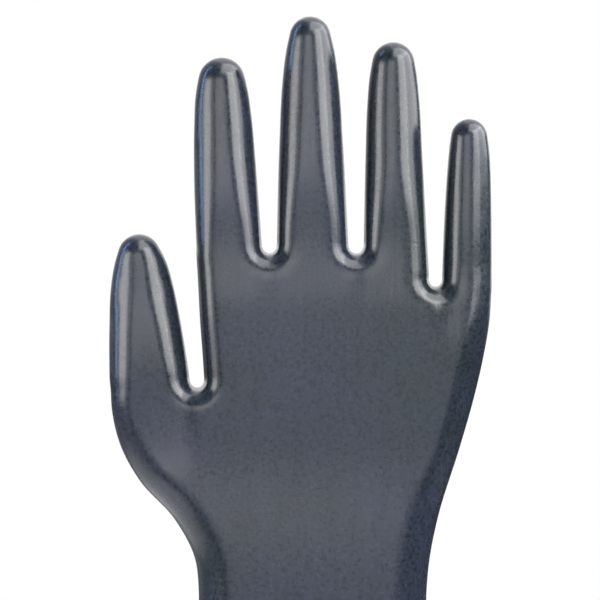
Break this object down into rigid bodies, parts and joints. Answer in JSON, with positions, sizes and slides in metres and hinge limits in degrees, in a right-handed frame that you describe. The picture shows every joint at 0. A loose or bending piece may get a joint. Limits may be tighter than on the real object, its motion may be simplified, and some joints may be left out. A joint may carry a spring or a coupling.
{
  "type": "electrical insulating glove",
  "caption": "Moulded rubber glove with a rounded five-finger hand, flared gauntlet cuff and rolled edge, insulating the wearer's hand from live electrical parts.",
  "frame": {"origin": "middle of the cuff's opening, on the surface that the glove stands on", "axes": "+Z from the cuff to the fingertips, +X across the hand towards the little finger, -Y out of the palm side"},
  "size_m": [0.1506, 0.0664, 0.36],
  "materials": {
    "outer_rubber": "satin, finely mottled dark bluish grey",
    "inner_rubber": "matt, dull orange contrast ply",
    "bead_rubber": "satin, dark bluish grey rolled edge"
  },
  "bodies": {
    "cuff": {"cuff_outer": "outer_rubber", "cuff_inner": "inner_rubber", "cuff_bead": "bead_rubber", "wrist_outer": "outer_rubber", "wrist_inner": "inner_rubber"},
    "hand": {"palm_outer": "outer_rubber", "palm_inner": "inner_rubber", "index_knuckle_outer": "outer_rubber", "index_knuckle_inner": "inner_rubber", "middle_knuckle_outer": "outer_rubber", "middle_knuckle_inner": "inner_rubber", "ring_knuckle_outer": "outer_rubber", "ring_knuckle_inner": "inner_rubber", "little_knuckle_outer": "outer_rubber", "little_knuckle_inner": "inner_rubber", "thumb_knuckle_outer": "outer_rubber", "thumb_knuckle_inner": "inner_rubber"},
    "index_base": {"index_lower_outer": "outer_rubber", "index_lower_inner": "inner_rubber", "index_crease_outer": "outer_rubber", "index_crease_inner": "inner_rubber"},
    "index_end": {"index_tip_outer": "outer_rubber", "index_tip_inner": "inner_rubber"},
    "middle_base": {"middle_lower_outer": "outer_rubber", "middle_lower_inner": "inner_rubber", "middle_crease_outer": "outer_rubber", "middle_crease_inner": "inner_rubber"},
    "middle_end": {"middle_tip_outer": "outer_rubber", "middle_tip_inner": "inner_rubber"},
    "ring_base": {"ring_lower_outer": "outer_rubber", "ring_lower_inner": "inner_rubber", "ring_crease_outer": "outer_rubber", "ring_crease_inner": "inner_rubber"},
    "ring_end": {"ring_tip_outer": "outer_rubber", "ring_tip_inner": "inner_rubber"},
    "little_base": {"little_lower_outer": "outer_rubber", "little_lower_inner": "inner_rubber", "little_crease_outer": "outer_rubber", "little_crease_inner": "inner_rubber"},
    "little_end": {"little_tip_outer": "outer_rubber", "little_tip_inner": "inner_rubber"},
    "thumb_base": {"thumb_lower_outer": "outer_rubber", "thumb_lower_inner": "inner_rubber", "thumb_crease_outer": "outer_rubber", "thumb_crease_inner": "inner_rubber"},
    "thumb_end": {"thumb_tip_outer": "outer_rubber", "thumb_tip_inner": "inner_rubber"}
  },
  "joints": [
    {"name": "wrist_fold", "type": "hinge", "parent": "cuff", "child": "hand", "pos_m": [0, 0, 0.139], "axis": [1, 0, 0], "range_deg": [-35, 40], "stiffness_Nm_per_rad": 4, "deforming": ["wrist_outer", "wrist_inner"]},
    {"name": "index_knuckle_fold", "type": "hinge", "parent": "hand", "child": "index_base", "pos_m": [-0.0328, 0, 0.2835], "axis": [0.9991, 0, 0.0419], "range_deg": [-10, 70], "stiffness_Nm_per_rad": 0.4, "deforming": ["index_knuckle_outer", "index_knuckle_inner"]},
    {"name": "index_crease_fold", "type": "hinge", "parent": "index_base", "child": "index_end", "pos_m": [-0.0342, 0, 0.317], "axis": [0.9991, 0, 0.0419], "range_deg": [0, 75], "stiffness_Nm_per_rad": 0.3, "deforming": ["index_crease_outer", "index_crease_inner"]},
    {"name": "middle_knuckle_fold", "type": "hinge", "parent": "hand", "child": "middle_base", "pos_m": [0, 0, 0.2845], "axis": [0.9999, 0, 0.0105], "range_deg": [-10, 70], "stiffness_Nm_per_rad": 0.4, "deforming": ["middle_knuckle_outer", "middle_knuckle_inner"]},
    {"name": "middle_crease_fold", "type": "hinge", "parent": "middle_base", "child": "middle_end", "pos_m": [-0.0005, 0, 0.325], "axis": [0.9999, 0, 0.0105], "range_deg": [0, 75], "stiffness_Nm_per_rad": 0.3, "deforming": ["middle_crease_outer", "middle_crease_inner"]},
    {"name": "ring_knuckle_fold", "type": "hinge", "parent": "hand", "child": "ring_base", "pos_m": [0.0313, 0, 0.2835], "axis": [0.9999, 0, 0.0157], "range_deg": [-10, 70], "stiffness_Nm_per_rad": 0.4, "deforming": ["ring_knuckle_outer", "ring_knuckle_inner"]},
    {"name": "ring_crease_fold", "type": "hinge", "parent": "ring_base", "child": "ring_end", "pos_m": [0.0308, 0, 0.3195], "axis": [0.9999, 0, 0.0157], "range_deg": [0, 75], "stiffness_Nm_per_rad": 0.3, "deforming": ["ring_crease_outer", "ring_crease_inner"]},
    {"name": "little_knuckle_fold", "type": "hinge", "parent": "hand", "child": "little_base", "pos_m": [0.0586, 0, 0.2695], "axis": [0.9999, 0, -0.014], "range_deg": [-10, 65], "stiffness_Nm_per_rad": 0.4, "deforming": ["little_knuckle_outer", "little_knuckle_inner"]},
    {"name": "little_crease_fold", "type": "hinge", "parent": "little_base", "child": "little_end", "pos_m": [0.059, 0, 0.2965], "axis": [0.9999, 0, -0.014], "range_deg": [0, 70], "stiffness_Nm_per_rad": 0.3, "deforming": ["little_crease_outer", "little_crease_inner"]},
    {"name": "thumb_knuckle_fold", "type": "hinge", "parent": "hand", "child": "thumb_base", "pos_m": [-0.0645, 0, 0.2152], "axis": [0.8281, 0, 0.5606], "range_deg": [-5, 45], "stiffness_Nm_per_rad": 0.4, "deforming": ["thumb_knuckle_outer", "thumb_knuckle_inner"]},
    {"name": "thumb_crease_fold", "type": "hinge", "parent": "thumb_base", "child": "thumb_end", "pos_m": [-0.0648, 0, 0.2515], "axis": [0.9977, 0, 0.068], "range_deg": [0, 45], "stiffness_Nm_per_rad": 0.3, "deforming": ["thumb_crease_outer", "thumb_crease_inner"]}
  ]
}
